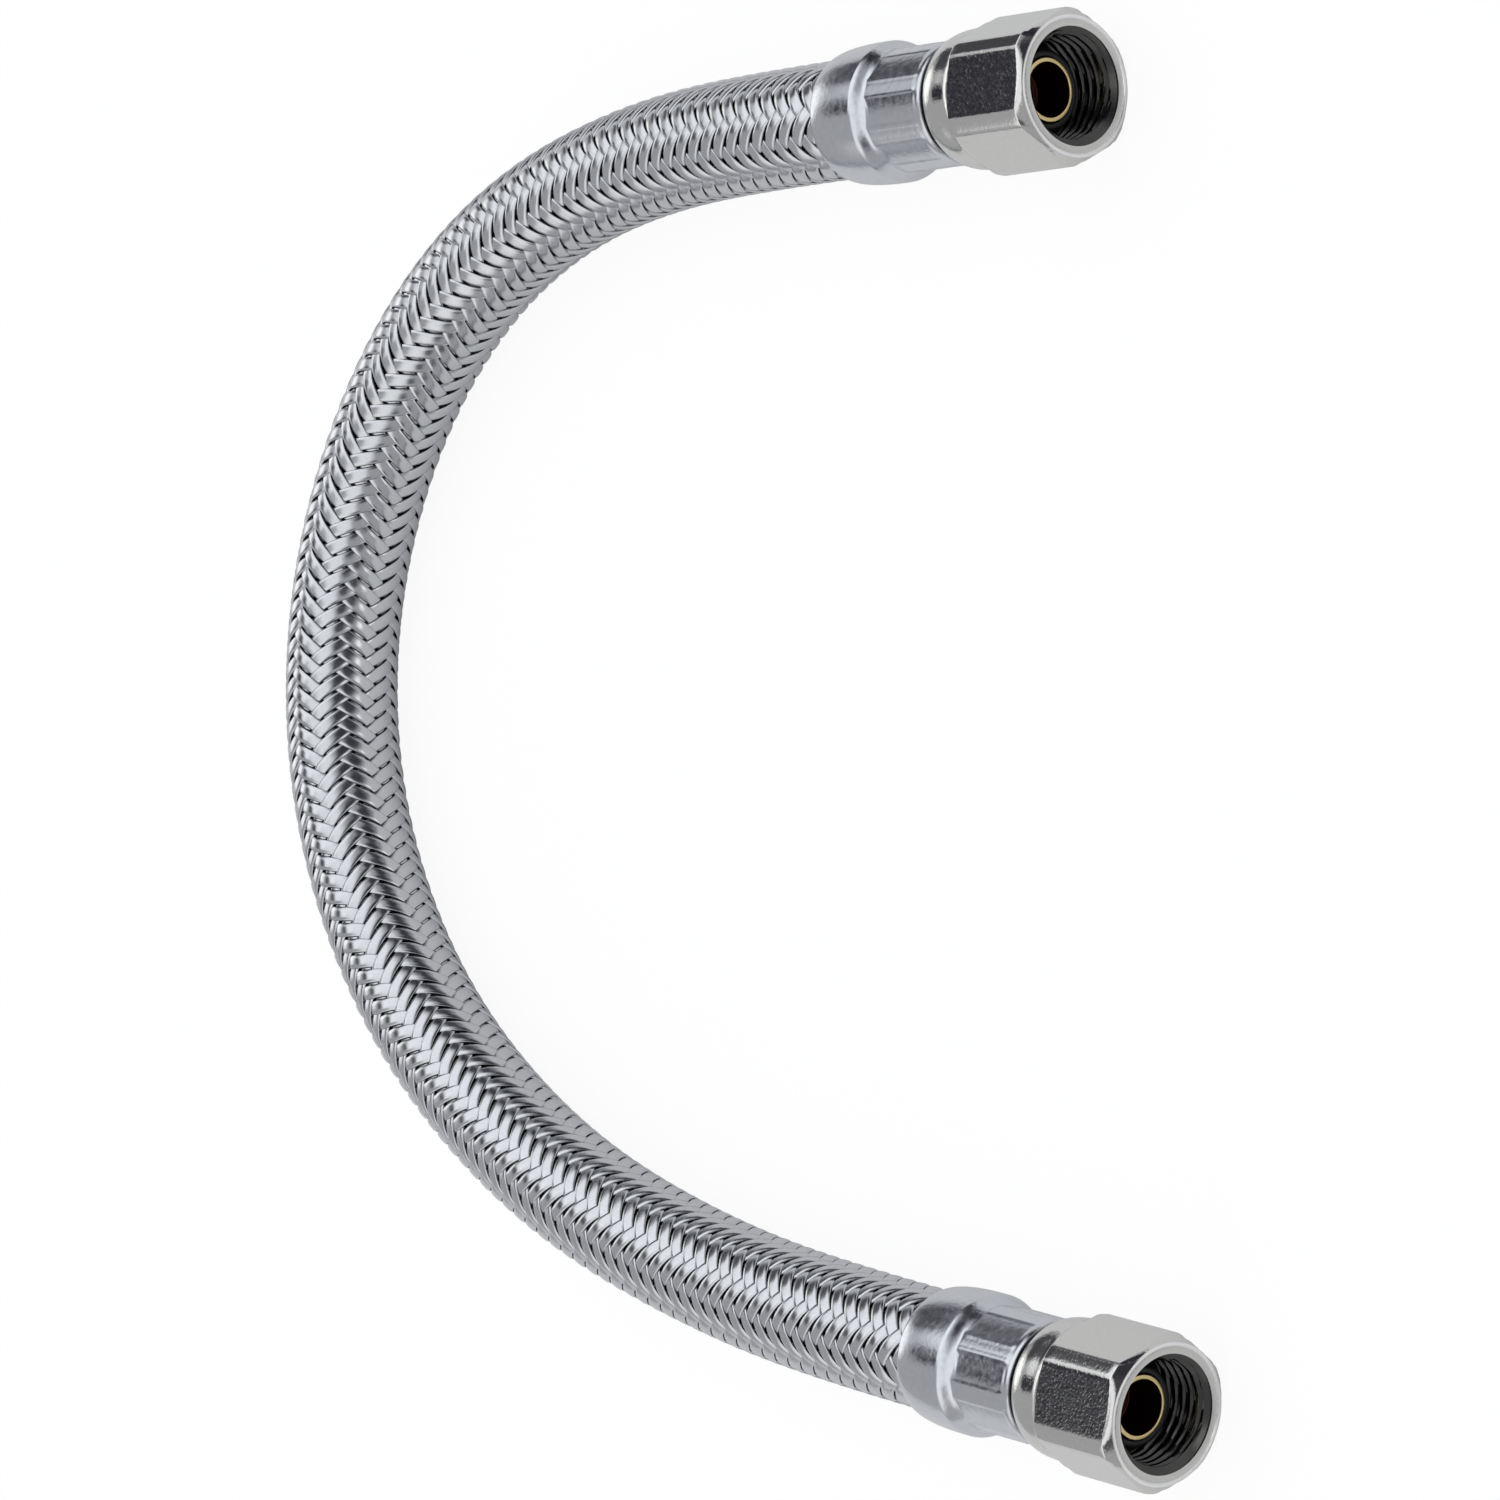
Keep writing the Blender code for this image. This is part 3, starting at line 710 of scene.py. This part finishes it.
def nut_form(depth, radius, angle):
    """Cut the six flats with a slightly soft edge, and the thread and its entry cone."""
    sector = math.tau / 6
    from_middle = (angle + sector / 2) % sector - sector / 2
    flat = NUT_FLATS / 2 / np.cos(from_middle)
    nearness = np.clip(0.5 + (flat - radius) / (2 * EDGE_SOFTNESS), 0.0, 1.0)
    cut = flat * (1 - nearness) + radius * nearness
    cut = cut - EDGE_SOFTNESS * nearness * (1 - nearness)
    outer = np.where(radius > NUT_MOUTH_RADIUS + EDGE_SOFTNESS, cut, radius)
    turn = (depth / THREAD_PITCH - angle / math.tau) % 1.0
    from_root = np.abs(turn - 0.5) * THREAD_PITCH - THREAD_ROOT_WIDTH / 2
    rise = np.clip(from_root / math.tan(THREAD_HALF_ANGLE), 0.0,
                   THREAD_ROOT_RADIUS - THREAD_CREST_RADIUS)
    runout = 1 - soft_rise(depth, THREAD_END - THREAD_RUNOUT, THREAD_END)
    groove = THREAD_CREST_RADIUS + (THREAD_ROOT_RADIUS - rise - THREAD_CREST_RADIUS) * runout
    entry = (depth - NUT_RIM_DROP) / (NUT_MOUTH_DEPTH - NUT_RIM_DROP)
    cone = NUT_MOUTH_RADIUS - entry * (NUT_MOUTH_RADIUS - THREAD_CREST_RADIUS)
    in_bore = np.abs(radius - THREAD_CREST_RADIUS) < HAIR / 10
    return np.where(in_bore, np.maximum(groove, cone), outer)


nut_plating = handled_material(
    "nut_plating", (0.74, 0.735, 0.71), roughness=0.11, smudge_size=2500.0, smudge_depth=0.16,
    rub_size=3000.0, shade_depth=0.12, bump_depth=0.010 * MM, pit_depth=0.35)
# Near-white face ring: a painted highlight, standing in for the reflection of the bright floor in
# front of the nut.
nut_rim_painted_highlight = handled_material(
    "nut_rim_painted_highlight", (0.97, 0.97, 0.96), roughness=0.32, smudge_size=900.0, smudge_depth=0.15,
    rub_size=3000.0, shade_depth=0.04, bump_depth=0.004 * MM)
# Near-black plating in the bore and thread: painted shade.
nut_bore_painted_shade = handled_material(
    "nut_bore_painted_shade", (0.10, 0.098, 0.095), roughness=0.18, smudge_size=900.0, smudge_depth=0.15,
    rub_size=3000.0, shade_depth=0.2, bump_depth=0.006 * MM)
for end in ("inlet", "outlet"):
    nut = add_mesh(end + "_swivel_nut", [turned_grid(end, nut_outline(), NUT_SIDES, nut_form)],
                   nut_plating, end + "_nut", closed_along=True)
    nut.data.set_sharp_from_angle(angle=SHARP_ANGLE)
    # The bore gets painted shade and the face ring a painted highlight.
    give_faces_material(nut.data, end, nut_bore_painted_shade, SHADED_BORE_DEPTHS, SHADED_BORE_RADII)
    give_faces_material(nut.data, end, nut_rim_painted_highlight, HIGHLIGHT_RIM_DEPTHS, HIGHLIGHT_RIM_RADII)
    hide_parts(end + "_nut")


# Floor and light
# A wide, matt, pale floor, which glows to the camera and faintly in the metal. The light is
# the world's: an even grey with soft bright and dark patches, laid where the metal in the
# photograph shows its long bands.
FLOOR_REACH = 3.0
FLOOR_DROP = 0.02 * MM
FLOOR_GLOW = 1.05
GLOW_IN_PICTURE = 0.88
GLOW_IN_METAL = 0.15
STUDIO_GREY = (0.44, 0.445, 0.46, 1.0)
STUDIO_PATCHES = (
    (20.0, 84.0, 12.0, 34.0, (1.04, 1.06, 1.09)),
    (-60.0, 66.0, 8.0, 30.0, (1.05, 1.07, 1.09)),
    (122.0, 50.0, 16.0, 36.0, (1.17, 1.19, 1.23)),
    (168.0, 57.0, 6.0, 16.0, (1.25, 1.27, 1.30)),
    (-100.0, 42.0, 10.0, 28.0, (1.10, 1.10, 1.10)),
    (-120.0, 24.0, 8.0, 18.0, (0.95, 0.95, 0.96)),
    (172.0, 12.0, 8.0, 17.0, (1.45, 1.45, 1.45)),
    (6.0, 3.0, 8.0, 15.0, (1.45, 1.45, 1.45)),
    (44.0, 26.0, 16.0, 26.0, (0.04, 0.04, 0.05)),
    (18.0, 39.0, 9.0, 18.0, (0.07, 0.07, 0.08)),
    (-54.0, 33.0, 6.0, 13.0, (0.10, 0.10, 0.11)),
    (78.0, 5.0, 14.0, 22.0, (0.03, 0.03, 0.04)),
    (108.0, 3.0, 14.0, 21.0, (0.03, 0.03, 0.04)),
    (144.0, 20.0, 8.0, 15.0, (0.07, 0.07, 0.08)),
    (140.0, 3.0, 8.0, 14.0, (0.07, 0.07, 0.08)),
    (178.0, 41.0, 6.0, 10.5, (0.03, 0.03, 0.04)),
)
floor_mesh = bpy.data.meshes.new("floor")
floor_corners = [(-FLOOR_REACH, -FLOOR_REACH, 0), (FLOOR_REACH, -FLOOR_REACH, 0),
                 (FLOOR_REACH, FLOOR_REACH, 0), (-FLOOR_REACH, FLOOR_REACH, 0)]
floor_mesh.from_pydata(floor_corners, [], [(0, 1, 2, 3)])
floor = bpy.data.objects.new("floor", floor_mesh)
floor.location.z = -FLOOR_DROP
bpy.context.scene.collection.objects.link(floor)


def floor_material():
    """Matt pale floor, which glows nearly white to the camera and a little to the metal."""
    material = bpy.data.materials.new("floor_paper")
    material.use_nodes = True
    nodes, links = material.node_tree.nodes, material.node_tree.links
    shader = nodes["Principled BSDF"]
    shader.inputs["Base Color"].default_value = (0.86, 0.86, 0.86, 1.0)
    shader.inputs["Roughness"].default_value = 0.9
    shader.inputs["Specular IOR Level"].default_value = 0.0
    glow = nodes.new("ShaderNodeEmission")
    glow.inputs["Color"].default_value = (1.0, 1.0, 1.0, 1.0)
    glow.inputs["Strength"].default_value = FLOOR_GLOW
    ray = nodes.new("ShaderNodeLightPath")
    in_metal = nodes.new("ShaderNodeMath")
    in_metal.operation = "MULTIPLY"
    links.new(ray.outputs["Is Glossy Ray"], in_metal.inputs[0])
    in_metal.inputs[1].default_value = GLOW_IN_METAL
    share = nodes.new("ShaderNodeMath")
    share.operation = "MULTIPLY_ADD"
    links.new(ray.outputs["Is Camera Ray"], share.inputs[0])
    share.inputs[1].default_value = GLOW_IN_PICTURE
    links.new(in_metal.outputs[0], share.inputs[2])
    mix = nodes.new("ShaderNodeMixShader")
    links.new(share.outputs[0], mix.inputs["Fac"])
    links.new(shader.outputs["BSDF"], mix.inputs[1])
    links.new(glow.outputs["Emission"], mix.inputs[2])
    links.new(mix.outputs["Shader"], nodes["Material Output"].inputs["Surface"])
    return material


floor.data.materials.append(floor_material())


def studio_light():
    """World of soft patches: azimuth, elevation, core and edge in degrees, and a colour."""
    world = bpy.data.worlds.new("studio")
    world.use_nodes = True
    nodes, links = world.node_tree.nodes, world.node_tree.links
    direction = nodes.new("ShaderNodeTexCoord")
    colour = None
    for azimuth, elevation, core, edge, patch in STUDIO_PATCHES:
        turn, lift = math.radians(azimuth), math.radians(elevation)
        axis = (math.cos(turn) * math.cos(lift), math.sin(turn) * math.cos(lift), math.sin(lift))
        facing = nodes.new("ShaderNodeVectorMath")
        facing.operation = "DOT_PRODUCT"
        links.new(direction.outputs["Generated"], facing.inputs[0])
        facing.inputs[1].default_value = axis
        share = nodes.new("ShaderNodeMapRange")
        share.interpolation_type = "SMOOTHSTEP"
        share.inputs["From Min"].default_value = math.cos(math.radians(edge))
        share.inputs["From Max"].default_value = math.cos(math.radians(core))
        links.new(facing.outputs["Value"], share.inputs["Value"])
        mix = nodes.new("ShaderNodeMix")
        mix.data_type = "RGBA"
        links.new(share.outputs["Result"], mix.inputs["Factor"])
        if colour is None:
            mix.inputs["A"].default_value = STUDIO_GREY
        else:
            links.new(colour, mix.inputs["A"])
        mix.inputs["B"].default_value = (*patch, 1.0)
        colour = mix.outputs["Result"]
    links.new(colour, nodes["Background"].inputs["Color"])
    return world


bpy.context.scene.world = studio_light()
bpy.context.scene.view_settings.view_transform = "Standard"
